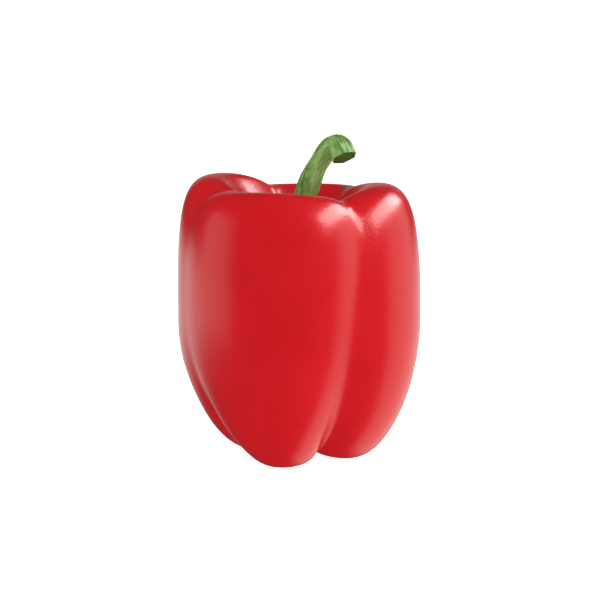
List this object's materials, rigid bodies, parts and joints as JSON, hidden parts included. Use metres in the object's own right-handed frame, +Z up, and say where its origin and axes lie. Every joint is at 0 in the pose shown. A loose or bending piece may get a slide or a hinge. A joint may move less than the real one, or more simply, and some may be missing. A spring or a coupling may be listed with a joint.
{
  "type": "bell pepper",
  "caption": "Whole ripe red blocky bell pepper with a green calyx in its hollow and a ribbed, hooked green stem, standing on its lobes.",
  "frame": {"origin": "centre of the footprint's bounding box, on the surface that the pepper stands on", "axes": "+Z up, from the base to the stem; -Y is the side of the widest front lobe, and the stem hooks over towards +X"},
  "size_m": [0.0862, 0.0846, 0.1145],
  "materials": {
    "fruit_skin": "gloss",
    "calyx_green": "satin",
    "stem_green": "satin"
  },
  "bodies": {
    "root": {"fruit": "fruit_skin", "calyx": "calyx_green", "stem": "stem_green"}
  },
  "joints": []
}
